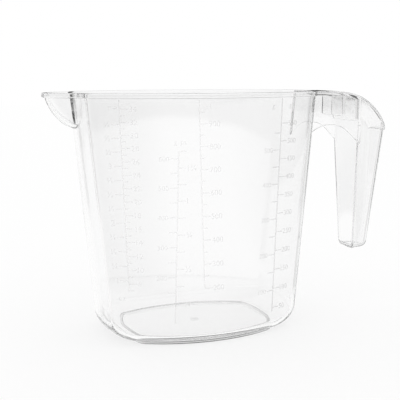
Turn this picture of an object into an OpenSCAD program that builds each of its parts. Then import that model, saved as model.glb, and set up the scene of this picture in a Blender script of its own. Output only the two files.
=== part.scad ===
/* [Body] */
// Length of the body at the rim, outside the end walls
rim_l = 142; // [124:1:170]
// Width of the body at the rim, outside the long walls
rim_w = 77.4; // [68:0.2:92]
// Length that the end walls taper to at table level
base_l = 116.3; // [104:0.1:136]
// Width that the long walls taper to at table level
base_w = 75.4; // [66:0.2:88]
// Height of the jug
height = 138.6; // [115:0.2:165]
// Thickness of the moulded wall
wall = 2; // [1.6:0.1:2.6]
// How far the end walls bow out past the corners
end_bow = 5.4; // [3:0.1:8]
// How far the long walls bow out past the corners
wall_bow = 14.7; // [11:0.1:17]
// Radius of the upright corners
corner_r = 9; // [3:0.1:11]

/* [Base] */
// Length of the foot ring
foot_l = 88.4; // [76:0.2:98]
// Width of the foot ring
foot_w = 67; // [58:0.2:70]
// Height of the foot ring
foot_h = 1.8; // [1.2:0.1:3]
// Thickness of the foot ring
foot_t = 2.2; // [1.4:0.1:4]
// Thickness of the floor
floor_t = 2.2; // [1.6:0.1:3.2]
// Height of the rounded corner between floor and walls
heel_h = 11.6; // [8:0.1:16]
// Diameter of the gate mark under the floor
gate_d = 5; // [3:0.1:8]
// How far the gate mark stands out of the floor
gate_h = 0.6; // [0.3:0.05:0.9]

/* [Rim] */
// Height of the bead round the rim
bead_h = 2.6; // [1.8:0.1:4]
// How far the bead stands out of the wall
bead_out = 1.2; // [0.6:0.1:2]

/* [Spout] */
// Reach of the spout past the end wall
spout_reach = 14.2; // [9:0.1:20]
// Depth of the spout below the rim
spout_depth = 20; // [14:0.5:28]
// Width of the spout where it leaves the end wall
mouth_w = 30; // [22:0.5:36]

/* [Handle] */
// Distance from the end wall to the outer edge of the lip
handle_out = 50; // [42:0.2:58]
// How far the strap lies below the top of the rim
strap_drop = 0.3; // [0.1:0.05:0.6]
// Outer radius of the bend in the strap
bend_r = 40.8; // [30:0.2:43]
// Drop from the top of the strap to the edge of the lip
lip_drop = 23.2; // [18:0.2:27]
// How far the lip stands out past the back of the grip
lip_out = 1.1; // [0.6:0.1:1.8]
// Width of the handle where it leaves the body
root_w = 26; // [20:0.5:32]
// Thickness of the side webs and ribs
web_t = 2; // [1.4:0.1:2.6]
// Radius of the arch under the side webs
arch_r = 16.7; // [13:0.1:19]
// Drop from the top of the rim to the crown of the arch
arch_drop = 20; // [17:0.2:25]
// Distance from the end wall to the inner rib
rib_gap = 17; // [12:0.2:20]
// Drop from the top of the rim to the lower edge of the inner rib
rib_drop = 15; // [10:0.2:17]
// Drop from the top of the rim to the lower edge of the outer rib
rib_outer_drop = 18; // [12:0.2:22]

/* [Grip] */
// Distance from the end wall at the rim to the open front of the grip
finger_gap = 27.2; // [24:0.2:31]
// Distance from the top of the rim to the lower end of the grip
grip_drop = 98; // [85:1:110]
// Width across the open front at the top
front_w = 32.4; // [27:0.2:38]
// Width across the open front at the lower end
front_end_w = 19; // [15:0.2:24]
// Width across the back at the top
back_w = 24; // [20:0.2:27]
// Width across the back at the lower end
back_end_w = 14; // [11:0.2:15]
// Depth of the grip at the lower end
end_depth = 12.6; // [9:0.2:15]
// How far the open front leans out towards the lower end
front_lean = 2.3; // [0:0.1:4]
// Thickness of the grip's wall
grip_t = 2; // [1.4:0.1:2.6]
// Radius of the grip's long outer corners
grip_r = 5.4; // [3:0.1:6]
// Radius round the lower end
end_r = 3.6; // [2.5:0.1:4]
// Height of the closed lower end
end_h = 5; // [4.2:0.1:8]

/* [Scales] */
// How far the graduations stand out of the wall
mark_h = 0.3; // [0.2:0.05:0.5]
// Width of the upright scale lines
line_t = 0.6; // [0.4:0.05:1]
// Thickness of the tick marks
tick_t = 0.5; // [0.3:0.05:0.8]
// Length of a tick that carries a number
long_tick = 4.4; // [3:0.1:6]
// Length of a tick between two numbers
short_tick = 2.6; // [1.5:0.1:3.5]
// Bare wall left between an upright line and the rim bead above it or the heel below it
line_gap = 0.6; // [0.3:0.1:2]

/* [Hidden] */

// Segments in a quarter of the outline: end arc, corner and side arc
end_steps = 5;
corner_steps = 4;
side_steps = 13;
// Levels in the heel and in the grip's rounded end, and segments and levels in the spout
heel_steps = 6;
round_steps = 5;
spout_steps = 22;
spout_levels = 11;
// Segments in one long corner of the grip
grip_steps = 6;
$fn = 96;
// Overrun of every cut past the surface that it opens
over = 1;
clear_plastic = [0.9, 0.93, 0.94];

// Exponents of the spout's profile, its mouth and its plan
profile_power = 1.8;
mouth_power = 3;
plan_power = 1.6;
// Deepest level of the spout, as a share of its depth
keel_share = 0.985;

// Where each scale line crosses the rim and the table level, as shares of half the length there
ounces_x_shares = [-0.714, -0.776];
pints_x_shares = [-0.276, -0.389];
millilitres_x_shares = [-0.135, -0.085];
flour_x_shares = [0.572, 0.616];
// Edge of the cube that holds a litre
litre_edge = 100;
// Shares of a litre: an imperial ounce and pint, a cup, a millilitre, and a gram of each dry good
ounce_share = 0.02841;
pint_share = 0.5683;
cup_share = 0.24;
ml_share = 0.001;
flour_share = 0.00162;
sugar_share = 0.00125;
semolina_share = 0.00154;
// Numbers on each scale in its own unit, the ticks between them, and where an upright line ends at one
ounce_counts = [8:2:34];
ounce_minor_counts = [7:2:33];
ounce_low_count = 7;
cup_counts = [1:0.25:3.75];
pint_counts = [0.25:0.125:1.375];
pint_high_count = 1.375;
sugar_counts = [150:50:600];
ml_counts = [200:100:900];
ml_minor_counts = [250:100:950];
ml_low_count = 200;
flour_counts = [50:50:550];
semolina_counts = [100:50:550];

// Heights
floor_top = foot_h + floor_t;
heel_top = foot_h + heel_h;
bead_z = height - bead_h;
line_top = bead_z - line_gap;
line_low = heel_top + line_gap;
strap_top = height - strap_drop;
strap_t = bead_h - strap_drop;
lip_z = strap_top - lip_drop;
grip_z = height - grip_drop;
end_top = grip_z + end_h;

// Places along the handle
end_x = rim_l / 2;
lip_x = end_x + handle_out;
bend_x = lip_x - sqrt(pow(bend_r, 2) - pow(bend_r - lip_drop, 2));
bend_z = strap_top - bend_r;
front_x = end_x + finger_gap;
back_x = lip_x - lip_out;
front_end_x = front_x + front_lean;
back_end_x = front_end_x + end_depth;
arch_x = (end_x + front_x) / 2 - wall * 2;
arch_z = height - arch_drop - arch_r;

// Points of an arc, without its first one when skip is 1
function arc(c, r, from, to, steps, skip = 0) =
    [for (i = [skip:steps]) let(a = from + (to - from) * i / steps) c + r * [cos(a), sin(a)]];

// Radius of an arc that rises over half a chord
function bow_r(half, rise) = (half * half + rise * rise) / (2 * rise);

// Centre of a corner that touches the side arc and the end arc from inside
function corner_c(side_c, side_r, end_c, end_r, r) =
    let(link = end_c - side_c, gap = norm(link), u = link / gap,
        along = (pow(side_r - r, 2) - pow(end_r - r, 2) + gap * gap) / (2 * gap),
        off = sqrt(pow(side_r - r, 2) - along * along))
    side_c + u * along + [u[1], -u[0]] * off;

// A quarter of the bowed outline, from the end's middle to the side's middle
function quarter(l, w, grow) =
    let(e = end_bow * w / (rim_w / 2), s = wall_bow * l / (rim_l / 2),
        end_r = bow_r(w - s, e), side_r = bow_r(l - e, s),
        end_c = [l - end_r, 0], side_c = [0, w - side_r],
        c = corner_c(side_c, side_r, end_c, end_r, corner_r),
        end_a = atan2(c[1], c[0] - end_c[0]), side_a = atan2(c[1] - side_c[1], c[0]))
    concat(arc(end_c, end_r + grow, 0, end_a, end_steps),
        arc(c, corner_r + grow, end_a, side_a, corner_steps, 1),
        arc(side_c, side_r + grow, side_a, 90, side_steps, 1));

function flipped(points, sx, sy) =
    [for (i = [len(points) - 1:-1:0]) [points[i][0] * sx, points[i][1] * sy]];
function part_of(points, first, last) = [for (i = [first:last]) points[i]];

// The whole outline, counterclockwise from the handle's end
function outline(l, w, grow = 0) =
    let(q = quarter(l, w, grow), m = flipped(q, -1, 1),
        half = concat(q, part_of(m, 1, len(m) - 1)), rest = flipped(half, 1, -1))
    concat(half, part_of(rest, 1, len(rest) - 2));

// Half length and half width of the tapered walls at a height
function half_l(z) = (base_l + (rim_l - base_l) * z / height) / 2;
function half_w(z) = (base_w + (rim_w - base_w) * z / height) / 2;
function section(z, grow = 0) = outline(half_l(z), half_w(z), grow);
function at(z, points) = [for (p = points) [p[0], p[1], z]];

// The rounded heel: how far it draws in at a height, from low to heel_top
function heel_in(z, low) =
    z >= heel_top ? 0 : 1 - sqrt(max(0, 1 - pow((heel_top - z) / (heel_top - low), 2)));
function heel_section(z, low, grow) =
    let(k = heel_in(z, low))
    outline(half_l(z) - (half_l(foot_h) - foot_l / 2) * k,
        half_w(z) - (half_w(foot_h) - foot_w / 2) * k, grow);
function heel_rings(low, grow) =
    [for (i = [0:heel_steps]) let(z = heel_top - (heel_top - low) * cos(90 * i / heel_steps))
        at(z, heel_section(z, low, grow))];

// Volume held below each height, as pairs of litres and heights
fill_steps = 60;
fill_dz = (height - floor_top) / fill_steps;
function area(p) = sum([for (i = [0:len(p) - 1]) cross(p[i], p[(i + 1) % len(p)])]) / 2;
function sum(v) = v * [for (x = v) 1];
function hold_area(z) = area(heel_section(z, floor_top, -wall));
fill_table = [for (i = 0, v = 0; i <= fill_steps;
        v = v + hold_area(floor_top + fill_dz * (i + 0.5)) * fill_dz / pow(litre_edge, 3), i = i + 1)
    [v, floor_top + fill_dz * i]];
function level(litres) = lookup(litres, fill_table);
function volumes(counts, share) = [for (n = counts) n * share];

// Side faces of stacked rings, each of n points, counterclockwise from above
function band(n, low, high) =
    [for (i = [0:n - 1]) each let(j = (i + 1) % n)
        [[low + i, high + i, high + j], [low + i, high + j, low + j]]];

module stack(rings) {
    n = len(rings[0]);
    top = len(rings) - 1;
    polyhedron(points = [for (r = rings) each r],
        faces = concat([[for (i = [0:n - 1]) i]], [[for (i = [n - 1:-1:0]) top * n + i]],
            [for (k = [0:top - 1]) each band(n, k * n, (k + 1) * n)]));
}

// A ring-shaped solid whose rings run round its wall and close on the first
module sleeve(rings) {
    n = len(rings[0]);
    m = len(rings);
    polyhedron(points = [for (r = rings) each r],
        faces = [for (k = [0:m - 1]) each band(n, k * n, ((k + 1) % m) * n)]);
}

// Everything inside the outer surface of the walls, for cutting what seats on it
module body_envelope() {
    stack([for (z = [heel_top, bead_z, height + over]) at(z, section(z))]);
}

// Extrudes a flat drawing of X and Z along Y, half to each side
module across(width) {
    rotate([90, 0, 0]) linear_extrude(width, center = true) children();
}

// Plan of the spout at a depth share, from the far edge round its tip to the near edge
function mouth_drop() = end_bow * pow(mouth_w / (rim_w - 2 * wall_bow), 2);
function round_off(d, power) = pow(max(0, 1 - pow(d, power)), 1 / power);
function spout_plan(z, d, grow) =
    let(w = (mouth_w / 2 + grow) * round_off(d, mouth_power),
        reach = (spout_reach + mouth_drop() + grow) * round_off(d, profile_power),
        root = half_l(z) - mouth_drop(), inside = root - 2 * wall)
    concat([[-inside, w]],
        [for (i = [0:spout_steps]) let(a = 90 - 180 * i / spout_steps)
            [-root - reach * pow(cos(a), 2 / plan_power),
            w * sign(sin(a)) * pow(abs(sin(a)), 2 / plan_power)]],
        [[-inside, -w]]);
module spout_solid(depth, grow, top) {
    stack([for (i = [0:spout_levels])
        let(z = height - depth * keel_share + (top - height + depth * keel_share) * i / spout_levels)
        at(z, spout_plan(z, max(0, (height - z) / depth), grow))]);
}
module spout_hollow(top) {
    spout_solid(spout_depth - wall, -wall, top);
}

// Space under the outer face of the strap, drawn in X and Z, drawn in by t
module under_strap(t) {
    intersection() {
        translate([bend_x, bend_z]) circle(bend_r - t);
        translate([bend_x, lip_z]) square(bend_r);
    }
    translate([bend_x - handle_out, lip_z]) square([handle_out, strap_top - t - lip_z]);
}

// Plan of the handle from inside the body to the open front of the grip
function root_plan(grow) =
    let(r = root_w / 2 + grow, f = front_w / 2 + grow, x = end_x - end_bow - wall)
    [[x, -r], [end_x, -r], [front_x, -f], [front_x, f], [end_x, r], [x, r]];

// Half of the grip's plan, from the open front round to the middle of the back
function grip_plan(z, draw_in, open) =
    let(u = min(1, (z - grip_z) / (lip_z - grip_z)),
        front = front_end_x + (front_x - front_end_x) * u - open,
        back = back_end_x + (back_x - back_end_x) * u - draw_in,
        f = (front_end_w + (front_w - front_end_w) * u) / 2 - draw_in,
        b = (back_end_w + (back_w - back_end_w) * u) / 2 - draw_in,
        r = max(grip_r - draw_in, grip_t / 2), lean = atan2(f - b, back - front),
        half = concat([[front, -f]], arc([back - r, r - b], r, lean - 90, 0, grip_steps)))
    concat(half, flipped(half, 1, -1));
function end_in(z, draw_in) =
    let(low = grip_z + draw_in, r = max(end_r - draw_in, grip_t / 2))
    z >= low + r ? 0 : r - sqrt(max(0, pow(r, 2) - pow(low + r - z, 2)));
function grip_levels(draw_in) =
    concat([for (i = [0:round_steps]) let(r = max(end_r - draw_in, grip_t / 2))
        grip_z + draw_in + r * (1 - cos(90 * i / round_steps))], [end_top, lip_z, strap_top]);
module grip_solid(draw_in, open) {
    stack([for (z = grip_levels(draw_in))
        at(z, grip_plan(z, draw_in + end_in(z, draw_in), open))]);
}
module grip_shell() {
    difference() {
        grip_solid(0, 0);
        grip_solid(grip_t, over);
    }
}
module grip_slice(low, high) {
    intersection() {
        grip_shell();
        translate([front_x - handle_out, -front_w, low]) cube([2 * handle_out, 2 * front_w, high - low]);
    }
}

// Surface layer on the near long wall that the graduations are cut from
function near_run(z, grow) =
    let(q = quarter(half_l(z), half_w(z), grow),
        side = part_of(q, end_steps + corner_steps, len(q) - 1), m = flipped(side, -1, 1))
    flipped(concat(side, part_of(m, 1, len(m) - 1)), 1, -1);
module near_layer() {
    ring = [for (z = [heel_top, bead_z])
        at(z, concat(near_run(z, mark_h), flipped(near_run(z, 0), 1, 1)))];
    stack(ring);
}
function line_x(x_shares, z) =
    (x_shares[1] * base_l + (x_shares[0] * rim_l - x_shares[1] * base_l) * z / height) / 2;
// One scale: an upright line between two heights, with ticks for volumes on its right and left
module graduation(x_shares, low, high, right, right_minor, left, left_minor) {
    module tick(litres, run) {
        z = level(litres);
        x = line_x(x_shares, z);
        if (z > heel_top && z < bead_z - tick_t)
            translate([min(x, x + run), z - tick_t / 2]) square([abs(run), tick_t]);
    }
    color(clear_plastic) intersection() {
        near_layer();
        translate([0, -rim_w / 2, 0]) across(rim_w) union() {
            polygon([[line_x(x_shares, low) - line_t / 2, low],
                [line_x(x_shares, low) + line_t / 2, low],
                [line_x(x_shares, high) + line_t / 2, high],
                [line_x(x_shares, high) - line_t / 2, high]]);
            for (v = right) tick(v, long_tick);
            for (v = right_minor) tick(v, short_tick);
            for (v = left) tick(v, -long_tick);
            for (v = left_minor) tick(v, -short_tick);
        }
    }
}

module body_wall() {
    color(clear_plastic) difference() {
        sleeve([at(heel_top, section(heel_top)), at(bead_z, section(bead_z)),
            at(bead_z, section(bead_z, -wall)), at(heel_top, section(heel_top, -wall))]);
        spout_hollow(height);
    }
}
module base_floor() {
    color(clear_plastic) difference() {
        stack(heel_rings(foot_h, 0));
        stack(concat(heel_rings(floor_top, -wall), [at(heel_top + over, section(heel_top, -wall))]));
    }
}
module foot_ring() {
    color(clear_plastic) linear_extrude(foot_h) difference() {
        polygon(outline(foot_l / 2, foot_w / 2));
        polygon(outline(foot_l / 2, foot_w / 2, -foot_t));
    }
}
module gate_mark() {
    color(clear_plastic) translate([0, 0, foot_h - gate_h]) cylinder(d = gate_d, h = gate_h);
}
module bead_plan(grow) {
    polygon(section(bead_z, grow));
    polygon(spout_plan(height, 0, grow));
}
module rim_bead() {
    color(clear_plastic) translate([0, 0, bead_z]) linear_extrude(bead_h) difference() {
        bead_plan(bead_out);
        bead_plan(-wall);
    }
}
module pouring_spout() {
    color(clear_plastic) difference() {
        spout_solid(spout_depth, 0, bead_z);
        spout_hollow(height);
        body_envelope();
    }
}
module handle_strap() {
    color(clear_plastic) difference() {
        intersection() {
            across(2 * front_w) difference() {
                under_strap(0);
                under_strap(strap_t);
            }
            linear_extrude(height) union() {
                polygon(root_plan(0));
                translate([front_x, -front_w / 2]) square([lip_out, front_w]);
                translate([lip_out, 0]) polygon(grip_plan(lip_z, 0, 0));
            }
        }
        linear_extrude(height) bead_plan(bead_out);
    }
}
module web(side) {
    color(clear_plastic) difference() {
        intersection() {
            across(2 * front_w) difference() {
                union() {
                    under_strap(strap_t);
                    translate([end_x - handle_out, arch_z]) square([2 * handle_out, lip_z - arch_z]);
                }
                translate([arch_x, arch_z]) circle(arch_r);
                translate([arch_x, arch_z]) rotate(-45) square([handle_out, arch_r]);
            }
            linear_extrude(height) difference() {
                polygon(root_plan(0));
                polygon(root_plan(-web_t));
            }
            translate([0, side > 0 ? 0 : -front_w, 0]) cube([lip_x, front_w, height]);
        }
        body_envelope();
    }
}
module web_near() web(-1);
module web_far() web(1);
module rib(x, drop) {
    color(clear_plastic) intersection() {
        across(front_w) difference() {
            under_strap(strap_t);
            square([lip_x, height - drop]);
        }
        linear_extrude(height) polygon(root_plan(-web_t));
        translate([x, -front_w, 0]) cube([web_t, 2 * front_w, height]);
    }
}
module rib_inner() rib(end_x + rib_gap, rib_drop);
module rib_outer() rib(front_x - web_t, rib_outer_drop);
module handle_grip() {
    color(clear_plastic) difference() {
        grip_slice(end_top, strap_top);
        across(2 * front_w) difference() {
            translate([0, lip_z]) square([lip_x + over, height]);
            under_strap(strap_t);
        }
    }
}
module grip_end() {
    color(clear_plastic) grip_slice(grip_z, end_top);
}
module scale_ounces_cups() {
    graduation(ounces_x_shares, level(ounce_low_count * ounce_share), line_top,
        volumes(ounce_counts, ounce_share), volumes(ounce_minor_counts, ounce_share),
        volumes(cup_counts, cup_share), []);
}
module scale_pints_sugar() {
    graduation(pints_x_shares, line_low, level(pint_high_count * pint_share),
        volumes(pint_counts, pint_share), [], volumes(sugar_counts, sugar_share), []);
}
module scale_millilitres() {
    graduation(millilitres_x_shares, level(ml_low_count * ml_share), line_top,
        volumes(ml_counts, ml_share), volumes(ml_minor_counts, ml_share), [], []);
}
module scale_flour_semolina() {
    graduation(flour_x_shares, line_low, line_top,
        volumes(flour_counts, flour_share), [], volumes(semolina_counts, semolina_share), []);
}

body_wall();
base_floor();
foot_ring();
gate_mark();
rim_bead();
pouring_spout();
handle_strap();
web_near();
web_far();
rib_inner();
rib_outer();
handle_grip();
grip_end();
scale_ounces_cups();
scale_pints_sugar();
scale_millilitres();
scale_flour_semolina();
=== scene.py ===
import math

import bmesh
import bpy
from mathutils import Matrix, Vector


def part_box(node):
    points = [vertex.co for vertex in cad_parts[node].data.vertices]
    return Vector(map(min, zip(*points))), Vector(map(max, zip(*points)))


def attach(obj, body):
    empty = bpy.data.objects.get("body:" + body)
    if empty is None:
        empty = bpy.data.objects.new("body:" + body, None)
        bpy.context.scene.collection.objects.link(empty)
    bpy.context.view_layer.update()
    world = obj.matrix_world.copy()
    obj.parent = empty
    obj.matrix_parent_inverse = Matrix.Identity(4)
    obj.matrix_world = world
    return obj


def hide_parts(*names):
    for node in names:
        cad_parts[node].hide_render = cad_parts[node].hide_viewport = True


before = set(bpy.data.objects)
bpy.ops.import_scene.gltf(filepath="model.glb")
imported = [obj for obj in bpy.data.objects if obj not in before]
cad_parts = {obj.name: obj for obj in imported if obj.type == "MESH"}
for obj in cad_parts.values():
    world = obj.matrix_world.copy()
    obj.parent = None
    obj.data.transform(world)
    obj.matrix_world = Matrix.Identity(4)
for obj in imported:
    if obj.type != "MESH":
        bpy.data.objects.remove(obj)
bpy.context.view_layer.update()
scene = bpy.context.scene
mm = 0.001
litre = 1e6             # cubic millimetres
touching = 0.01         # millimetres within which two places count as one
cutPast = 1.0           # millimetres that a cutting solid reaches past what it cuts
creaseAngle = 32        # degrees past which an edge stays crisp
print("frame loaded:", len(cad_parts), "nodes")


def corners(node):
    # lowest and highest corner of a CAD node, in millimetres
    low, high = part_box(node)
    return low / mm, high / mm


def linearColour(hexColour):
    # an sRGB hex colour as the linear values that shaders take
    channels = [int(hexColour[i:i + 2], 16) / 255 for i in (1, 3, 5)]
    return [c / 12.92 if c <= 0.04045 else ((c + 0.055) / 1.055) ** 2.4 for c in channels] + [1.0]


def newPiece(name, mesh):
    piece = bpy.data.objects.new(name, mesh)
    scene.collection.objects.link(piece)
    return piece


def finishIn(piece, material):
    piece.data.materials.clear()
    piece.data.materials.append(material)


def meshOf(bm, name):
    mesh = bpy.data.meshes.new(name)
    bm.to_mesh(mesh)
    bm.free()
    return mesh


def settle(piece):
    # makes the modifiers' result the piece's own mesh
    shaped = bpy.data.meshes.new_from_object(piece.evaluated_get(bpy.context.evaluated_depsgraph_get()))
    piece.modifiers.clear()
    piece.data = shaped


def combine(piece, operation, tools):
    # joins solids to a piece or cuts them out of it, and removes them
    for tool in tools:
        step = piece.modifiers.new("combine", "BOOLEAN")
        step.operation, step.solver, step.object = operation, "EXACT", tool
        settle(piece)
        bpy.data.objects.remove(tool)


def smoothFinish(piece):
    # shades a piece smooth, with crisp creases and even shading on large flats
    piece.data.shade_smooth()
    piece.data.set_sharp_from_angle(angle=math.radians(creaseAngle))
    even = piece.modifiers.new("even", "WEIGHTED_NORMAL")
    even.keep_sharp = True
    settle(piece)


# The body's outline: bowed ends and sides with tight upright corners between them
jugBody = {
    "endBow": 5.4,          # how far the ends bow out past the corners at the rim
    "sideBow": 14.7,        # and the long sides
    "cornerRadius": 9.0,
    "wall": 2.0,
    "floor": 2.2,
    "footWidth": 2.2,       # thickness of the foot ring
    "footRound": 0.7,       # radius of its lower edges
    "beadOut": 1.18,        # how far the rim bead stands out of the wall
    "beadRound": 0.6,       # radius of the bead's edges
    "lipRound": 0.5,        # radius of the rim's inner edge
    "flatInset": 1.0,       # how far the plain face of each flat stops short of its edge
    "endSteps": 14,
    "cornerSteps": 14,
    "sideSteps": 30,
    "heelSteps": 12,
    "roundSteps": 4,
}

wallHigh = corners("body_wall")[1]
baseHigh = corners("base_floor")[1]
footHigh = corners("foot_ring")[1]
beadLow, beadHigh = corners("rim_bead")
rimZ, beadZ, heelZ, footZ = beadHigh.z, beadLow.z, baseHigh.z, footHigh.z
floorZ = footZ + jugBody["floor"]


def halfSizes(z):
    # half length and half width of the tapered walls at a height
    share = (z - heelZ) / (wallHigh.z - heelZ)
    return (baseHigh.x + (wallHigh.x - baseHigh.x) * share,
            baseHigh.y + (wallHigh.y - baseHigh.y) * share)


rimHalfLength, rimHalfWidth = halfSizes(rimZ)


def bowRadius(half, rise):
    return (half * half + rise * rise) / (2 * rise)


def arcPoints(centre, radius, start, end, steps):
    angles = [start + (end - start) * i / steps for i in range(steps + 1)]
    return [centre + Vector((math.cos(a), math.sin(a))) * radius for a in angles]


def cornerCentre(sideCentre, sideRadius, endCentre, endRadius, radius):
    # centre of a corner that touches the side's arc and the end's arc from inside
    link = endCentre - sideCentre
    gap = link.length
    along = ((sideRadius - radius) ** 2 - (endRadius - radius) ** 2 + gap * gap) / (2 * gap)
    off = math.sqrt((sideRadius - radius) ** 2 - along * along)
    link.normalize()
    return sideCentre + link * along + Vector((link.y, -link.x)) * off


def bowsOf(halfLength, halfWidth):
    # how far the sides and the ends of an outline of this size bow out
    return (jugBody["sideBow"] * halfLength / rimHalfLength,
            jugBody["endBow"] * halfWidth / rimHalfWidth)


def sideArc(halfLength, halfWidth):
    # centre and radius of the arc that a long side follows
    sideBow, endBow = bowsOf(halfLength, halfWidth)
    radius = bowRadius(halfLength - endBow, sideBow)
    return Vector((0, halfWidth - radius)), radius


def outline(halfLength, halfWidth, grow=0.0):
    # the bowed outline, counterclockwise from the handle's end
    sideCentre, sideRadius = sideArc(halfLength, halfWidth)
    sideBow, endBow = bowsOf(halfLength, halfWidth)
    endRadius = bowRadius(halfWidth - sideBow, endBow)
    endCentre = Vector((halfLength - endRadius, 0))
    corner = jugBody["cornerRadius"]
    centre = cornerCentre(sideCentre, sideRadius, endCentre, endRadius, corner)
    endAngle = math.atan2(centre.y, centre.x - endCentre.x)
    sideAngle = math.atan2(centre.y - sideCentre.y, centre.x)
    quarter = arcPoints(endCentre, endRadius + grow, 0, endAngle, jugBody["endSteps"])
    quarter += arcPoints(centre, corner + grow, endAngle, sideAngle, jugBody["cornerSteps"])[1:]
    quarter += arcPoints(sideCentre, sideRadius + grow, sideAngle, math.pi / 2, jugBody["sideSteps"])[1:]
    upper = quarter + [Vector((-p.x, p.y)) for p in reversed(quarter[:-1])]
    return upper + [Vector((p.x, -p.y)) for p in reversed(upper[1:-1])]


def wallOutline(z, grow=0.0):
    return outline(*halfSizes(z), grow)


def heelOutline(z, low, grow=0.0):
    # the walls' outline where the rounded heel draws it in to the foot, from heelZ down to low
    drop = (heelZ - z) / (heelZ - low) if low < z < heelZ else float(z <= low)
    drawIn = 1 - math.sqrt(1 - drop ** 2)
    halfLength, halfWidth = halfSizes(z)
    footLength, footWidth = halfSizes(footZ)
    return outline(halfLength - (footLength - footHigh.x) * drawIn,
                   halfWidth - (footWidth - footHigh.y) * drawIn, grow)


def atHeight(points, z):
    return [Vector((p.x, p.y, z)) for p in points]


def loft(name, rings):
    # a closed solid: the first ring of points, in millimetres, is extruded to each next one
    bm = bmesh.new()
    verts = [bm.verts.new(p * mm) for p in rings[0]]
    edges = [bm.edges.new((verts[i - 1], verts[i])) for i in range(len(verts))]
    bmesh.ops.edgeloop_fill(bm, edges=edges)
    for points in rings[1:]:
        made = bmesh.ops.extrude_edge_only(bm, edges=edges)["geom"]
        fresh = {v for v in made if isinstance(v, bmesh.types.BMVert)}
        verts = [next(e.other_vert(v) for e in v.link_edges if e.other_vert(v) in fresh) for v in verts]
        for vert, point in zip(verts, points):
            vert.co = point * mm
        edges = [bm.edges.get((verts[i - 1], verts[i])) for i in range(len(verts))]
    bmesh.ops.edgeloop_fill(bm, edges=edges)
    bmesh.ops.recalc_face_normals(bm, faces=bm.faces)
    return newPiece(name, meshOf(bm, name))


def heelRings(low, grow):
    steps = jugBody["heelSteps"]
    heights = [heelZ - (heelZ - low) * math.cos(math.pi / 2 * i / steps) for i in range(steps + 1)]
    return [atHeight(heelOutline(z, low, grow), z) for z in heights]


def roundedSteps(radius):
    # pairs of inset and rise round a quarter turn, from the full inset to the full rise
    turns = [math.pi / 2 * i / jugBody["roundSteps"] for i in range(jugBody["roundSteps"] + 1)]
    return [(radius * (1 - math.sin(a)), radius * (1 - math.cos(a))) for a in turns]


def beadRings(planAt):
    # a band with rounded outer edges from the bead's foot to the rim
    out, radius = jugBody["beadOut"], jugBody["beadRound"]
    low = [atHeight(planAt(out - inset), beadZ + rise) for inset, rise in roundedSteps(radius)]
    high = [atHeight(planAt(out - inset), rimZ - rise) for inset, rise in roundedSteps(radius)[::-1]]
    return low + high


spout = {
    "reach": 14.2,          # past the end wall
    "depth": 20.0,          # below the rim
    "mouth": 30.0,          # width where it leaves the end wall
    "profilePower": 1.8,    # exponents of its profile, its mouth and its plan
    "mouthPower": 3.0,
    "planPower": 1.6,
    "keelGap": 0.3,         # share of a level by which the lowest one stays off the keel
    "levels": 22,
    "planSteps": 48,
}


def roundOff(share, power):
    return max(0.0, 1 - share ** power) ** (1 / power)


def spoutPlan(z, depthShare, grow):
    # plan of the spout from inside the body round its tip and back
    drop = jugBody["endBow"] * (spout["mouth"] / (2 * (rimHalfWidth - jugBody["sideBow"]))) ** 2
    halfWidth = (spout["mouth"] / 2 + grow) * roundOff(depthShare, spout["mouthPower"])
    reach = (spout["reach"] + drop + grow) * roundOff(depthShare, spout["profilePower"])
    root = halfSizes(z)[0] - drop
    inside = root - 2 * jugBody["wall"]
    points = [Vector((-inside, halfWidth))]
    for i in range(spout["planSteps"] + 1):
        turn = math.pi / 2 - math.pi * i / spout["planSteps"]
        sweep = abs(math.cos(turn)) ** (2 / spout["planPower"])
        across = math.copysign(abs(math.sin(turn)) ** (2 / spout["planPower"]), math.sin(turn))
        points.append(Vector((-root - reach * sweep, halfWidth * across)))
    return points + [Vector((-inside, -halfWidth))]


def spoutRings(depth, grow, top):
    # levels that crowd towards the keel, where the spout turns under, and end at a height
    rings = []
    for i in range(spout["levels"], 0, -1):
        turn = math.pi / 2 * (i - spout["keelGap"]) / spout["levels"]
        share = math.sin(turn) ** (2 / spout["profilePower"])
        z = rimZ - depth * share
        if z < top:
            rings.append(atHeight(spoutPlan(z, share, grow), z))
    return rings + [atHeight(spoutPlan(top, max(0.0, (rimZ - top) / depth), grow), top)]


def footRings():
    # from the flat underside of the floor down round the foot ring
    foot, width = (footHigh.x, footHigh.y), jugBody["footWidth"]
    insets = (-width - jugBody["flatInset"], -width)
    rings = [atHeight(outline(*foot, inset), footZ) for inset in insets]
    turn = roundedSteps(jugBody["footRound"])
    rings += [atHeight(outline(*foot, -width + inset), rise) for inset, rise in turn[::-1]]
    return rings + [atHeight(outline(*foot, -inset), rise) for inset, rise in turn]


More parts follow.
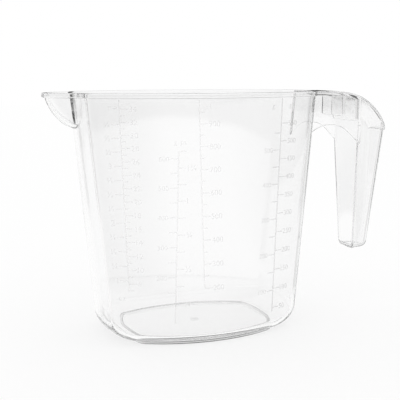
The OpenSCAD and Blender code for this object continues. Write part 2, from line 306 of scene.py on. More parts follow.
def makeBody():
    # the whole body outside, and then the room inside it cut out
    wall, overlap = jugBody["wall"], (beadZ + rimZ) / 2
    body = loft("jugBody", footRings() + heelRings(footZ, 0.0) + [atHeight(wallOutline(overlap), overlap)])
    outer = loft("spoutOuter", spoutRings(spout["depth"], 0.0, overlap))
    bead = loft("beadBody", beadRings(lambda grow: wallOutline(rimZ, grow)))
    beadSpout = loft("beadSpout", beadRings(lambda grow: spoutPlan(rimZ, 0.0, grow)))
    combine(body, "UNION", [outer, bead, beadSpout])
    flare = roundedSteps(jugBody["lipRound"])[::-1]
    mouth, over = -wall + jugBody["lipRound"], rimZ + cutPast
    flat = [atHeight(heelOutline(floorZ, floorZ, -wall - jugBody["flatInset"]), floorZ)]
    top = [atHeight(wallOutline(rimZ, -wall + inset), rimZ - rise) for inset, rise in flare]
    top.append(atHeight(wallOutline(rimZ, mouth), over))
    inner = loft("inside", flat + heelRings(floorZ, -wall) + top)
    keel = spoutRings(spout["depth"] - wall, -wall, rimZ - 2 * jugBody["lipRound"])
    top = [atHeight(spoutPlan(rimZ, 0.0, -wall + inset), rimZ - rise) for inset, rise in flare]
    top.append(atHeight(spoutPlan(rimZ, 0.0, mouth), over))
    innerSpout = loft("spoutInside", keel + top)
    combine(body, "DIFFERENCE", [inner, innerSpout])
    smoothFinish(body)
    return body


body = makeBody()
print("body moulded:", len(body.data.polygons), "faces")


handle = {
    "strapThickness": 2.3,
    "bendRadius": 40.8,     # outer radius of the bend
    "lipOut": 1.1,          # how far the lip stands out past the back of the grip
    "rootWidth": 26.0,
    "webThickness": 2.0,
    "archRadius": 16.7,
    "archDrop": 20.0,       # from the rim to the crown of the arch
    "archSlope": 45,        # degrees at which the arch runs out into the grip
    "gripWall": 2.0,
    "gripCorner": 5.4,      # radius of the long outer corners
    "backWidth": 24.0,
    "frontEndWidth": 19.0,  # at the lower end
    "backEndWidth": 14.0,
    "endDepth": 12.6,
    "frontLean": 2.3,       # how far the open front leans out towards the lower end
    "endRound": 3.6,
    "edgeRound": 0.6,
    "strapRound": 1.1,      # radius of the strap's edges
    "sink": 0.6,            # how far the roots run into the body's wall
    "sinkRise": 0.1,        # height in which that depth steps out under the rim bead
    "strapStart": 4.0,      # how far inside the rim's end the strap starts, before it is cut to the wall
    "webStart": 8.0,        # and the webs
    "roundPast": 0.8,       # radians between faces past which an edge is rounded
    "rootSteps": 8,
    "bendSteps": 28,
    "archSteps": 24,
    "cornerSteps": 10,
    "edgeSteps": 3,
}

strapLow, strapHigh = corners("handle_strap")
gripLow, gripHigh = corners("handle_grip")
strapTop, lipZ, lipX = strapHigh.z, strapLow.z, strapHigh.x
frontX, backX, frontHalf = gripLow.x, gripHigh.x, gripHigh.y
gripZ = corners("grip_end")[0].z
bendZ = strapTop - handle["bendRadius"]
bendX = lipX - math.sqrt(handle["bendRadius"] ** 2 - (lipZ - bendZ) ** 2)
rootHalf = handle["rootWidth"] / 2


def rootHalfWidth(x):
    # half width of the handle between the body and the open front of the grip
    share = (x - rimHalfLength) / (frontX - rimHalfLength)
    return rootHalf + (frontHalf - rootHalf) * share


def strapHalfWidth(x):
    # half width of the strap, whose plan follows the grip's past the open front
    radius = handle["gripCorner"]
    front, centreX = frontX + handle["lipOut"], lipX - radius
    backHalf = handle["backWidth"] / 2
    centreY = backHalf - radius
    lean = math.atan2(frontHalf - backHalf, lipX - front)
    turnX, turnHalf = centreX + radius * math.sin(lean), centreY + radius * math.cos(lean)
    if x <= front:
        return min(frontHalf, rootHalfWidth(x))
    if x <= turnX:
        return frontHalf + (turnHalf - frontHalf) * (x - front) / (turnX - front)
    return centreY + math.sqrt(max(0.0, radius ** 2 - (x - centreX) ** 2))


def strapPoint(turn, depth):
    # a point of the bend's section, at an angle past straight up and a depth under the outer face
    radius = handle["bendRadius"] - depth
    return Vector((bendX + radius * math.sin(turn), bendZ + radius * math.cos(turn)))


def strapRing(shift, turn, inset):
    # one section of the strap with rounded edges, moved back along X and drawn in by inset
    radius, thickness = handle["strapRound"], handle["strapThickness"]
    ring = []
    for side, flip in ((-1, False), (1, True)):
        arc = roundedSteps(radius)
        lower = [(draw, thickness - rise) for draw, rise in arc]
        upper = [(draw, rise) for draw, rise in reversed(arc)]
        profile = lower + upper
        for draw, depth in (reversed(profile) if flip else profile):
            depth = min(max(depth, inset), thickness - inset)
            point = strapPoint(turn, depth) - Vector((shift, 0))
            ring.append(Vector((point.x, side * (strapHalfWidth(point.x) - draw - inset), point.y)))
    return ring


def makeStrap():
    # flat from inside the body's end to the bend, round the bend, and round the lip's edge
    lastTurn = math.acos((lipZ + handle["edgeRound"] / 2 - bendZ) / handle["bendRadius"])
    start = bendX - rimHalfLength + handle["strapStart"]
    steps, bends = handle["rootSteps"], handle["bendSteps"]
    rings = [strapRing(start * (1 - i / steps), 0.0, 0.0) for i in range(steps)]
    rings += [strapRing(0.0, lastTurn * i / bends, 0.0) for i in range(bends + 1)]
    for inset, rise in roundedSteps(handle["edgeRound"])[-2::-1]:
        turn = lastTurn + (handle["edgeRound"] - rise) / handle["bendRadius"]
        rings.append(strapRing(0.0, turn, inset))
    return loft("jugHandle", rings)


def gripPlan(z, drawIn, opening):
    # the grip's plan at a height, drawn in all round, with its front moved by opening
    share = min(1.0, (z - gripZ) / (lipZ - gripZ))
    frontEnd = frontX + handle["frontLean"]
    front = frontEnd + (frontX - frontEnd) * share - opening
    backEnd = frontEnd + handle["endDepth"]
    back = backEnd + (backX - backEnd) * share - drawIn
    frontSide = (handle["frontEndWidth"] + (2 * frontHalf - handle["frontEndWidth"]) * share) / 2 - drawIn
    backSide = (handle["backEndWidth"] + (handle["backWidth"] - handle["backEndWidth"]) * share) / 2 - drawIn
    radius = max(handle["gripCorner"] - drawIn, handle["gripWall"] / 2)
    lean = math.atan2(frontSide - backSide, back - front)
    centre = Vector((back - radius, radius - backSide))
    half = [Vector((front, -frontSide))]
    half += arcPoints(centre, radius, lean - math.pi / 2, 0, handle["cornerSteps"])
    return half + [Vector((p.x, -p.y)) for p in reversed(half)]


def gripSolid(name, drawIn, opening, top):
    # a solid grip with a rounded lower end
    radius = max(handle["endRound"] - drawIn, handle["gripWall"] / 2)
    low = gripZ + drawIn
    rings = []
    for i in range(handle["cornerSteps"] + 1):
        turn = math.pi / 2 * i / handle["cornerSteps"]
        z = low + radius * (1 - math.cos(turn))
        rings.append(atHeight(gripPlan(z, drawIn + radius * (1 - math.sin(turn)), opening), z))
    rings += [atHeight(gripPlan(z, drawIn, opening), z) for z in (lipZ, top)]
    return loft(name, rings)


def underStrap(depth):
    # everything under a depth in the strap, and all below the lip
    lastTurn = math.acos((lipZ - bendZ) / (handle["bendRadius"] - depth))
    turns = [lastTurn * (1 - i / handle["bendSteps"]) for i in range(handle["bendSteps"] + 1)]
    foot = gripZ - 5 * cutPast
    outer = [Vector((0, foot)), Vector((2 * lipX, foot)), Vector((2 * lipX, lipZ))]
    outer += [strapPoint(turn, depth) for turn in turns] + [Vector((0, strapTop - depth))]
    half = 2 * frontHalf
    return loft("underStrap", [[Vector((p.x, y, p.y)) for p in outer] for y in (-half, half)])


def alongX(edge):
    # how far an edge runs along X
    return abs(edge.verts[0].co.x - edge.verts[1].co.x) / mm


def roundEdges(piece, chosen):
    # rounds the crisp edges that chosen picks
    bm = bmesh.new()
    bm.from_mesh(piece.data)
    edges = [e for e in bm.edges if e.calc_face_angle(0) > handle["roundPast"] and chosen(e)]
    bmesh.ops.bevel(bm, geom=edges, offset=handle["edgeRound"] * mm, offset_type="OFFSET", affect="EDGES",
                    segments=handle["edgeSteps"], profile=0.5, material=-1, clamp_overlap=False)
    bm.to_mesh(piece.data)
    bm.free()


def makeGrip():
    # a tapered channel, open to the body, with a closed lower end
    shell = gripSolid("gripOuter", 0.0, 0.0, strapTop)
    hollow = gripSolid("gripHollow", handle["gripWall"], cutPast, strapTop + cutPast)
    combine(shell, "DIFFERENCE", [hollow])
    slope = handle["frontLean"] / (lipZ - gripZ)

    def onFront(vert):
        x, z = vert.co.x / mm, vert.co.z / mm
        return abs(x - frontX - slope * max(0.0, lipZ - z)) < touching
    roundEdges(shell, lambda e: all(onFront(vert) for vert in e.verts))
    return shell


def makeWeb(side):
    # a side plate under the strap, whose lower edge is an arch that runs out into a straight slope
    radius = handle["archRadius"]
    archX = (rimHalfLength + frontX) / 2 - 2 * jugBody["wall"]
    archZ = rimZ - handle["archDrop"] - radius
    startX, endX = rimHalfLength - handle["webStart"], frontX + handle["webThickness"] / 2
    startTurn = math.acos((startX - archX) / radius) if abs(startX - archX) < radius else math.pi
    turnLeft = math.radians(handle["archSlope"]) - startTurn
    steps = handle["archSteps"]
    turns = [startTurn + turnLeft * i / steps for i in range(steps + 1)]
    arch = [Vector((archX + radius * math.cos(a), archZ + radius * math.sin(a))) for a in turns]
    arch.append(Vector((endX, arch[-1].y - (endX - arch[-1].x))))
    profile = [Vector((startX, rimZ))] + arch + [Vector((endX, rimZ))]
    faces = []
    for depth in (0.0, handle["webThickness"]):
        faces.append([Vector((p.x, side * (rootHalfWidth(p.x) - depth), p.y)) for p in profile])
    web = loft("web", faces)
    roundEdges(web, lambda e: alongX(e) > touching and all(v.co.z < (rimZ - touching) * mm for v in e.verts))
    return web


def makeRib(node):
    # a cross plate between the two webs, with its lower edges rounded
    low, high = corners(node)
    middle = Vector(((low.x + high.x) / 2, 0, (strapTop + low.z) / 2))
    width = 2 * (rootHalfWidth(middle.x) - handle["webThickness"] / 2)
    bm = bmesh.new()
    bmesh.ops.create_cube(bm, size=1.0)
    bmesh.ops.scale(bm, vec=((high.x - low.x) * mm, width * mm, (strapTop - low.z) * mm), verts=bm.verts)
    bmesh.ops.translate(bm, vec=middle * mm, verts=bm.verts)
    rib = newPiece("rib", meshOf(bm, "rib"))
    roundEdges(rib, lambda e: alongX(e) < touching and all(v.co.z < (low.z + touching) * mm for v in e.verts))
    return rib


def bodyEnvelope():
    # the inside of the walls and bead, drawn in by the depth to which the handle's roots run
    sink, out = handle["sink"], jugBody["beadOut"]
    step, top = beadZ + handle["sinkRise"], rimZ + 2 * cutPast
    heights = ((gripZ, -sink), (beadZ, -sink), (step, out - sink), (top, out - sink))
    return loft("envelope", [atHeight(wallOutline(z, grow), z) for z, grow in heights])


def makeHandle():
    # grip, webs and ribs trimmed to the underside of the strap and to the wall, and then the strap
    inner = makeGrip()
    combine(inner, "UNION", [makeWeb(-1), makeWeb(1), makeRib("rib_inner"), makeRib("rib_outer")])
    combine(inner, "INTERSECT", [underStrap(handle["strapThickness"] / 2)])
    combine(inner, "DIFFERENCE", [bodyEnvelope()])
    strap = makeStrap()
    combine(strap, "DIFFERENCE", [bodyEnvelope()])
    combine(strap, "UNION", [inner])
    smoothFinish(strap)
    return strap


grip = makeHandle()
print("handle moulded:", len(grip.data.polygons), "faces")


# Plain raised numbers beside the ticks of the CAD's scales
numbers = {
    "relief": 0.3,          # how far they stand out of the wall
    "sink": 0.05,           # and how far they run into it
    "capShare": 0.69,       # height of a digit as a share of the font's size
    "curveSteps": 3,
    "levels": 60,           # in the table of volumes held
    "merge": 0.0005,        # distance within which the letters' doubles are merged
    "ounces": (-0.714, -0.776),     # where each upright line crosses the rim and the table's level,
    "pints": (-0.276, -0.389),      # as shares of half the length there
    "millilitres": (-0.135, -0.085),
    "dryGoods": (0.572, 0.616),
}
fractions = {0.25: "¼", 0.5: "½", 0.75: "¾"}
# Each row: line, litres in one unit, counts, text of a count, from the line to the nearer side, digit height
numberRows = (
    ("ounces", 0.02841, range(8, 36, 2), str, 5.0, 2.8),
    ("ounces", 0.24, [n / 4 for n in range(4, 16)], lambda n: fractions.get(n % 1) or str(int(n)), -5.2, 3.0),
    ("pints", 0.5683, [n / 4 for n in range(1, 6)], lambda n: (str(int(n)) if n >= 1 else "") +
     fractions.get(n % 1, ""), 5.0, 3.2),
    ("pints", 0.00125, range(200, 650, 100), str, -5.0, 2.6),
    ("millilitres", 0.001, range(200, 1000, 100), str, 5.0, 3.0),
    ("dryGoods", 0.00162, range(50, 600, 50), str, 5.0, 2.8),
    ("dryGoods", 0.00154, range(100, 600, 100), str, -5.0, 2.6),
)
# Unit symbols: line, text, height above the foot, from the line to the nearer side, letter height
unitMarks = (
    ("ounces", "oz", 28.6, -2.0, 2.6), ("ounces", "cup", 131.8, -1.2, 2.2), ("pints", "pt", 113.4, 1.0, 2.6),
    ("pints", "g", 113.4, -1.0, 2.6), ("millilitres", "ml", 131.6, 3.0, 2.6),
    ("dryGoods", "g", 131.6, 5.0, 2.6), ("dryGoods", "g", 131.6, -5.0, 2.6),
)


def heldHeights():
    # pairs of litres held and height, up the inside of the body
    rise = (rimZ - floorZ) / numbers["levels"]
    held, pairs = 0.0, [(0.0, floorZ)]
    for i in range(numbers["levels"]):
        plan = heelOutline(floorZ + rise * (i + 0.5), floorZ, -jugBody["wall"])
        area = sum(plan[j - 1].cross(plan[j]) for j in range(len(plan))) / 2
        held += area * rise / litre
        pairs.append((held, floorZ + rise * (i + 1)))
    return pairs


def levelOf(pairs, litres):
    for (less, low), (more, high) in zip(pairs, pairs[1:]):
        if litres <= more:
            return low + (high - low) * (litres - less) / (more - less)
    return rimZ


def lineX(shares, z):
    # where an upright scale line stands at a height
    foot, rim = shares[1] * halfSizes(0)[0], shares[0] * rimHalfLength
    return foot + (rim - foot) * z / rimZ


def addWords(bm, words, size, x, z):
    # adds raised words to a mesh, wrapped on the near wall, right of x or for a negative size left of it
    curve = bpy.data.curves.new("words", "FONT")
    curve.body, curve.size, curve.resolution_u = words, abs(size) / numbers["capShare"], numbers["curveSteps"]
    curve.align_x, curve.align_y = "LEFT", "BOTTOM_BASELINE"
    curve.extrude = (numbers["relief"] + numbers["sink"]) / 2
    piece = newPiece("words", curve)
    mesh = bpy.data.meshes.new_from_object(piece)
    bpy.data.objects.remove(piece)
    reach = [v.co.x for v in mesh.vertices]
    start = x - (min(reach) if size > 0 else max(reach))
    middle = (numbers["relief"] - numbers["sink"]) / 2
    for vert in mesh.vertices:
        placeX, placeZ = start + vert.co.x, z - abs(size) / 2 + vert.co.y
        centre, radius = sideArc(*halfSizes(placeZ))
        out = centre.y + math.sqrt(radius ** 2 - placeX ** 2) + vert.co.z + middle
        vert.co = Vector((placeX, -out, placeZ)) * mm
    bm.from_mesh(mesh)


def makeNumbers(line):
    # all the numbers and unit symbols beside one upright line
    bm = bmesh.new()
    shares = numbers[line]
    pairs = heldHeights()
    for owner, litres, counts, words, gap, size in numberRows:
        for count in counts if owner == line else ():
            z = levelOf(pairs, count * litres)
            if z - size / 2 > heelZ and z + size / 2 < beadZ:
                addWords(bm, words(count), math.copysign(size, gap), lineX(shares, z) + gap, z)
    for owner, words, z, gap, size in unitMarks:
        if owner == line:
            addWords(bm, words, math.copysign(size, gap), lineX(shares, z) + gap, z)
    bmesh.ops.remove_doubles(bm, verts=bm.verts, dist=numbers["merge"] * mm)
    bmesh.ops.recalc_face_normals(bm, faces=bm.faces)
    return newPiece(line + "Numbers", meshOf(bm, line + "Numbers"))


numberPieces = [makeNumbers(line) for line in ("ounces", "pints", "millilitres", "dryGoods")]
print("numbers raised:", sum(len(piece.data.polygons) for piece in numberPieces), "faces")


def addNode(tree, kind, inputs=None, links=None, **settings):
    # one node with its settings, its input values and its links from other nodes' outputs
    node = tree.nodes.new(kind)
    for name, value in settings.items():
        setattr(node, name, value)
    for name, value in (inputs or {}).items():
        node.inputs[name].default_value = value
    for name, output in (links or {}).items():
        tree.links.new(output, node.inputs[name])
    return node


def newMaterial(name):
    material = bpy.data.materials.new(name)
    material.use_nodes = True
    material.node_tree.nodes.clear()
    return material, material.node_tree


def span(edges, ends):
    # inputs of a Map Range node: from the first of ends to the second while a value passes the two edges
    return {"From Min": edges[0], "From Max": edges[1], "To Min": ends[0], "To Max": ends[1]}


# Sockets of a Mix node set to colours: its share, the two colours, and the result
mixShare, mixFrom, mixTo, mixResult = 0, 6, 7, 2

plastic = {
    "index": 1.57,          # of refraction, of styrene-acrylonitrile
    "roughness": 0.02,
    "tint": "#CCCCCC",      # a thick piece of it darkens white light evenly
    "density": 8.0,         # of that tint, per metre
    "rippleSize": 25.0,     # millimetres between the flow ripples of the melt
    "rippleBump": (0.02, 1.0),      # strength and height in millimetres
    "footShadeTop": 2.5,         # height of the foot ring that carries painted shade
    "footShadeBands": (          # painted shade up that height, as shares of it: dark bands where the foot ring shows dark lines of shade
        (0.0, "#383838"), (0.13, "#383838"), (0.18, "#F4F4F4"), (0.48, "#F4F4F4"),
        (0.53, "#484848"), (0.66, "#484848"), (0.71, "#FFFFFF")),
    "footShadeAcross": (-30, 15),        # from the near side to the far side, where the painted shade is lighter
    # how much of the painted shade is left on the near side and on the far side
    "footShadeShares": (1.0, 0.25),
}


def clearMouldedPlastic():
    # polished steel mould: a clear, hard gloss with faint flow ripples, and painted shade on the foot ring,
    # darkest on the near side
    material, tree = newMaterial("styreneAcrylonitrileMoulded")
    place = addNode(tree, "ShaderNodeTexCoord")
    axes = addNode(tree, "ShaderNodeSeparateXYZ", {}, {"Vector": place.outputs["Object"]})
    ripple = addNode(tree, "ShaderNodeTexNoise", {"Scale": 1 / (plastic["rippleSize"] * mm), "Detail": 1.0},
                     {"Vector": place.outputs["Object"]})
    strength, height = plastic["rippleBump"]
    bump = addNode(tree, "ShaderNodeBump", {"Strength": strength, "Distance": height * mm},
                   {"Height": ripple.outputs["Fac"]})
    # painted shade: grey bands up the foot ring, strongest on the near side, stand in for the dark lines of
    # shade round the foot
    rise = addNode(tree, "ShaderNodeMapRange", span((0.0, plastic["footShadeTop"] * mm), (0.0, 1.0)),
                   {"Value": axes.outputs["Z"]})
    ring = addNode(tree, "ShaderNodeValToRGB", {}, {"Fac": rise.outputs["Result"]})
    stops, bands = ring.color_ramp.elements, plastic["footShadeBands"]
    for stop, (position, shade) in zip(stops, (bands[0], bands[-1])):
        stop.position, stop.color = position, linearColour(shade)
    for position, shade in bands[1:-1]:
        stops.new(position).color = linearColour(shade)
    across = [edge * mm for edge in plastic["footShadeAcross"]]
    side = addNode(tree, "ShaderNodeMapRange", span(across, plastic["footShadeShares"]),
                   {"Value": axes.outputs["Y"]})
    footShade = addNode(tree, "ShaderNodeMix", {mixFrom: linearColour("#FFFFFF")},
                   {mixShare: side.outputs["Result"], mixTo: ring.outputs["Color"]}, data_type="RGBA")
    surface = addNode(tree, "ShaderNodeBsdfPrincipled", {
        "Roughness": plastic["roughness"], "IOR": plastic["index"], "Transmission Weight": 1.0},
        {"Base Color": footShade.outputs[mixResult], "Normal": bump.outputs["Normal"]})
    inside = addNode(tree, "ShaderNodeVolumeAbsorption", {
        "Color": linearColour(plastic["tint"]), "Density": plastic["density"]})
    addNode(tree, "ShaderNodeOutputMaterial", {}, {
        "Surface": surface.outputs["BSDF"], "Volume": inside.outputs["Volume"]})
    return material


etching = {
    "cover": 0.1,           # share of the light that the etched face stops
    "roughness": 0.5,
    "grainSize": 0.25,      # millimetres, coarser than the real grain, which is too fine to show
    "grainBump": (0.4, 0.1),        # strength and height in millimetres
    # pale and dark colour of the marks: the dark one is painted shade towards the handle
    "shades": ("#F0F0F0", "#565656"),
    "shadeAlong": (-5, 40),         # millimetres towards the handle between which the painted shade changes
}


def raisedMarks():
    # spark-eroded letters in the mould: a fine grain that scatters light, so marks look pale grey,
    # and a painted shade, darker towards the handle, where the photograph's marks stand out most
    material, tree = newMaterial("styreneAcrylonitrileEtched")
    place = addNode(tree, "ShaderNodeTexCoord")
    axes = addNode(tree, "ShaderNodeSeparateXYZ", {}, {"Vector": place.outputs["Object"]})
    grain = addNode(tree, "ShaderNodeTexNoise", {"Scale": 1 / (etching["grainSize"] * mm), "Detail": 2.0},
                    {"Vector": place.outputs["Object"]})
    strength, height = etching["grainBump"]
    bump = addNode(tree, "ShaderNodeBump", {"Strength": strength, "Distance": height * mm},
                   {"Height": grain.outputs["Fac"]})
    # painted shade: the marks' colour darkens towards the handle, standing in for how light falls there
    edges = [edge * mm for edge in etching["shadeAlong"]]
    along = addNode(tree, "ShaderNodeMapRange", span(edges, (0.0, 1.0)), {"Value": axes.outputs["X"]})
    pale, dark = [linearColour(shade) for shade in etching["shades"]]
    shade = addNode(tree, "ShaderNodeMix", {mixFrom: pale, mixTo: dark}, {mixShare: along.outputs["Result"]},
                    data_type="RGBA")
    surface = addNode(tree, "ShaderNodeBsdfPrincipled", {
        "Roughness": etching["roughness"], "IOR": plastic["index"], "Alpha": etching["cover"]},
        {"Base Color": shade.outputs[mixResult], "Normal": bump.outputs["Normal"]})
    addNode(tree, "ShaderNodeOutputMaterial", {}, {"Surface": surface.outputs["BSDF"]})
    return material


clear = clearMouldedPlastic()
etched = raisedMarks()
for piece in (body, grip):
    finishIn(piece, clear)
    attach(piece, "root")
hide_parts("body_wall", "base_floor", "foot_ring", "rim_bead", "pouring_spout")
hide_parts("handle_strap", "web_near", "web_far", "rib_inner", "rib_outer", "handle_grip", "grip_end")
for piece in numberPieces:
    finishIn(piece, etched)
    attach(piece, "root")
for name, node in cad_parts.items():
    if name.startswith("scale_") or name == "gate_mark":
        finishIn(node, etched)
print("materials made")


# Plain views and light through the plastic see white. What it mirrors is a room with dark flags.
# Headings are degrees from -Y towards +X, edges of height are sines, and light goes from 0 to 1.
studio = {
    "floorHalf": 3.0,       # half the floor's side, in metres
    "floorDrop": 0.1,       # millimetres under the foot
    "floorPaint": "#FCFCFC",
    "floorGlow": 0.8,       # share of the floor that is seen as plain white
    "flags": ((-55, 50, 0.25), (80, 40, 0.75)),     # heading, half width and light left of each flag
    "paper": (-143, (0.7, 0.9), 0.75),      # heading, edges as cosines and light of a backdrop
    "backFlag": (150, (0.9, 0.97), 0.85),   # the same of a low flag behind the handle, with its darkness
    "backFlagTop": (0.04, 0.1),
    "backFlagFoot": (0.32, 0.55),   # metres from the jug between which that flag starts on the table
    "tableEdge": (2.2, 3.0),        # metres from the jug between which the table falls dark
    "horizon": (0.02, 0.12),        # heights between which the dark room gives way to light
    "horizonLight": 0.1,
    "ceiling": (0.35, 0.6),         # heights between which the dark ceiling starts
    "ceilingLight": 0.15,
    "hazeTurns": (2, 7),    # inner reflections over which the plastic's haze mixes what a light path shows
    "hazeLeft": 0.3,        # share of the dark round that is left after them
    "hazeCeiling": 0.2,     # and of the dark ceiling
    "poolEdge": (0.1, 0.2),         # metres within which the table is plain white from below
    "firstTurn": 0.5,       # between no turn of a light path and one
    "lens": 69.66,          # mm on the sensor: the photograph's viewing angle
    "sensor": 36.0,
    "nearest": 0.01,        # metres from the camera past which things show
    "cameraPlace": (-136.7, -425.9, 151.0),
    "cameraHeading": -18.242,
    "cameraPitch": 80.42,
    "bounces": 120,         # light paths in clear plastic are long
    "glossyBounces": 100,
}
smoothly = {"interpolation_type": "SMOOTHSTEP"}


def facingOf(tree, vector, angle):
    # the cosine between a vector's heading and that of an angle
    turn = math.radians(angle)
    level = addNode(tree, "ShaderNodeVectorMath", {1: (1, 1, 0)}, {0: vector}, operation="MULTIPLY")
    heading = addNode(tree, "ShaderNodeVectorMath", {}, {0: level.outputs["Vector"]}, operation="NORMALIZE")
    facing = addNode(tree, "ShaderNodeVectorMath", {1: (math.sin(turn), -math.cos(turn), 0)},
                     {0: heading.outputs["Vector"]}, operation="DOT_PRODUCT")
    return facing.outputs["Value"]


def flaggedLight(tree, vector):
    # the light that the plastic mirrors by a vector's heading, with the dark flags beside the camera
    lights = []
    for angle, spread, left in studio["flags"]:
        edges = (math.cos(math.radians(spread)), 1.0)
        flag = addNode(tree, "ShaderNodeMapRange", span(edges, (1.0, left)),
                       {"Value": facingOf(tree, vector, angle)})
        lights.append(flag.outputs["Result"])
    both = addNode(tree, "ShaderNodeMath", {}, {0: lights[0], 1: lights[1]}, operation="MULTIPLY")
    return both.outputs["Value"]


def towards(tree, vector, place):
    # a share that grows as a vector's heading nears that of a part of the studio
    angle, edges, most = place
    share = addNode(tree, "ShaderNodeMapRange", span(edges, (0.0, most)),
                    {"Value": facingOf(tree, vector, angle)}, **smoothly)
    return share.outputs["Result"]


def roundAbout(tree, vector, horizon, low):
    # the light of the whole round: flags, the paper before the dark horizon, and the low flag where low is 1
    paper = addNode(tree, "ShaderNodeMath", {}, {0: horizon, 1: towards(tree, vector, studio["paper"])},
                    operation="MAXIMUM")
    around = addNode(tree, "ShaderNodeMath", {}, {0: flaggedLight(tree, vector), 1: paper.outputs["Value"]},
                     operation="MULTIPLY")
    dark = addNode(tree, "ShaderNodeMath", {}, {0: low, 1: towards(tree, vector, studio["backFlag"])},
                   operation="MULTIPLY")
    left = addNode(tree, "ShaderNodeMath", {}, {0: around.outputs["Value"], 1: dark.outputs["Value"]},
                   operation="SUBTRACT", use_clamp=True)
    return left.outputs["Value"]


def hazed(tree, ray, left):
    # 1 on a fresh light path, falling to what the plastic's haze leaves after many inner reflections
    haze = addNode(tree, "ShaderNodeMapRange", span(studio["hazeTurns"], (1.0, left)),
                   {"Value": ray.outputs["Glossy Depth"]}, **smoothly)
    return haze.outputs["Result"]


def mirrored(tree):
    # the share of the dark round on light paths that a polished face has mirrored, and 0 on all others
    ray = addNode(tree, "ShaderNodeLightPath")
    turned = addNode(tree, "ShaderNodeMath", {1: studio["firstTurn"]}, {0: ray.outputs["Glossy Depth"]},
                     operation="GREATER_THAN")
    share = addNode(tree, "ShaderNodeMath", {}, {
        0: turned.outputs["Value"], 1: hazed(tree, ray, studio["hazeLeft"])}, operation="MULTIPLY")
    return share.outputs["Value"]


def makeFloor():
    # a white table top that keeps a soft shadow and falls dark in reflections from far off
    bm = bmesh.new()
    bmesh.ops.create_grid(bm, x_segments=1, y_segments=1, size=studio["floorHalf"])
    bmesh.ops.translate(bm, vec=(0, 0, -studio["floorDrop"] * mm), verts=bm.verts)
    floor = newPiece("studioFloor", meshOf(bm, "studioFloor"))
    material, tree = newMaterial("paleStudioFloor")
    place = addNode(tree, "ShaderNodeTexCoord")
    away = addNode(tree, "ShaderNodeVectorMath", {}, {0: place.outputs["Object"]}, operation="LENGTH")
    distance = {"Value": away.outputs["Value"]}
    table = addNode(tree, "ShaderNodeMapRange", span(studio["tableEdge"], (1.0, studio["horizonLight"])),
                    distance, **smoothly)
    beyond = addNode(tree, "ShaderNodeMapRange", span(studio["backFlagFoot"], (0.0, 1.0)),
                     distance, **smoothly)
    near = addNode(tree, "ShaderNodeMapRange", span(studio["poolEdge"], (1.0, 0.0)), distance, **smoothly)
    around = roundAbout(tree, place.outputs["Object"], table.outputs["Result"], beyond.outputs["Result"])
    light = addNode(tree, "ShaderNodeMath", {}, {0: around, 1: near.outputs["Result"]}, operation="MAXIMUM")
    paint = addNode(tree, "ShaderNodeBsdfDiffuse", {"Color": linearColour(studio["floorPaint"])})
    white = addNode(tree, "ShaderNodeEmission", {"Color": linearColour("#FFFFFF"), "Strength": 1.0})
    shown = addNode(tree, "ShaderNodeMixShader", {0: studio["floorGlow"]},
                    {1: paint.outputs["BSDF"], 2: white.outputs["Emission"]})
    pool = addNode(tree, "ShaderNodeEmission", {"Strength": 1.0}, {"Color": light.outputs["Value"]})
    mixed = addNode(tree, "ShaderNodeMixShader", {}, {
        0: mirrored(tree), 1: shown.outputs["Shader"], 2: pool.outputs["Emission"]})
    addNode(tree, "ShaderNodeOutputMaterial", {}, {"Surface": mixed.outputs["Shader"]})
    finishIn(floor, material)


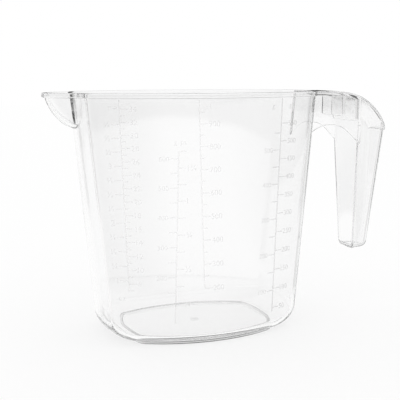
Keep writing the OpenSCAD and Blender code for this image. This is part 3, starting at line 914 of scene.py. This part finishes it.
def makeWorld():
    # white paper all round, with a dark ceiling that only light bent by the plastic reaches
    world = bpy.data.worlds.new("paleStudio")
    scene.world = world
    world.use_nodes = True
    tree = world.node_tree
    tree.nodes.clear()
    place = addNode(tree, "ShaderNodeTexCoord")
    axes = addNode(tree, "ShaderNodeSeparateXYZ", {}, {"Vector": place.outputs["Generated"]})
    height = {"Value": axes.outputs["Z"]}
    room = addNode(tree, "ShaderNodeMapRange", span(studio["horizon"], (studio["horizonLight"], 1.0)),
                   height, **smoothly)
    low = addNode(tree, "ShaderNodeMapRange", span(studio["backFlagTop"], (1.0, 0.0)), height, **smoothly)
    tent = addNode(tree, "ShaderNodeBackground", {"Strength": 1.0}, {
        "Color": roundAbout(tree, place.outputs["Generated"], room.outputs["Result"],
                            low.outputs["Result"])})
    above = addNode(tree, "ShaderNodeMapRange", span(studio["ceiling"], (0.0, 1 - studio["ceilingLight"])),
                    height, **smoothly)
    ray = addNode(tree, "ShaderNodeLightPath")
    through = addNode(tree, "ShaderNodeMath", {1: studio["firstTurn"]},
                      {0: ray.outputs["Transmission Depth"]}, operation="GREATER_THAN")
    bent = addNode(tree, "ShaderNodeMath", {},
                   {0: through.outputs["Value"], 1: ray.outputs["Is Diffuse Ray"]},
                   operation="SUBTRACT", use_clamp=True)
    seen = addNode(tree, "ShaderNodeMath", {}, {
        0: hazed(tree, ray, studio["hazeCeiling"]), 1: bent.outputs["Value"]}, operation="MULTIPLY")
    shade = addNode(tree, "ShaderNodeMath", {}, {0: above.outputs["Result"], 1: seen.outputs["Value"]},
                    operation="MULTIPLY")
    paper = addNode(tree, "ShaderNodeMath", {0: 1.0}, {1: shade.outputs["Value"]}, operation="SUBTRACT")
    white = addNode(tree, "ShaderNodeBackground", {"Strength": 1.0}, {"Color": paper.outputs["Value"]})
    mixed = addNode(tree, "ShaderNodeMixShader", {}, {
        0: mirrored(tree), 1: white.outputs["Background"], 2: tent.outputs["Background"]})
    addNode(tree, "ShaderNodeOutputWorld", {}, {"Surface": mixed.outputs["Shader"]})


def makeCamera():
    data = bpy.data.cameras.new("camera")
    data.lens, data.sensor_width = studio["lens"], studio["sensor"]
    data.clip_start = studio["nearest"]
    camera = bpy.data.objects.new("camera", data)
    camera.location = Vector(studio["cameraPlace"]) * mm
    camera.rotation_euler = (math.radians(studio["cameraPitch"]), 0, math.radians(studio["cameraHeading"]))
    scene.collection.objects.link(camera)
    scene.camera = camera


makeFloor()
makeWorld()
makeCamera()
scene.view_settings.view_transform = "Standard"
scene.cycles.max_bounces = studio["bounces"]
scene.cycles.transmission_bounces = studio["bounces"]
scene.cycles.glossy_bounces = studio["glossyBounces"]
print("studio set")
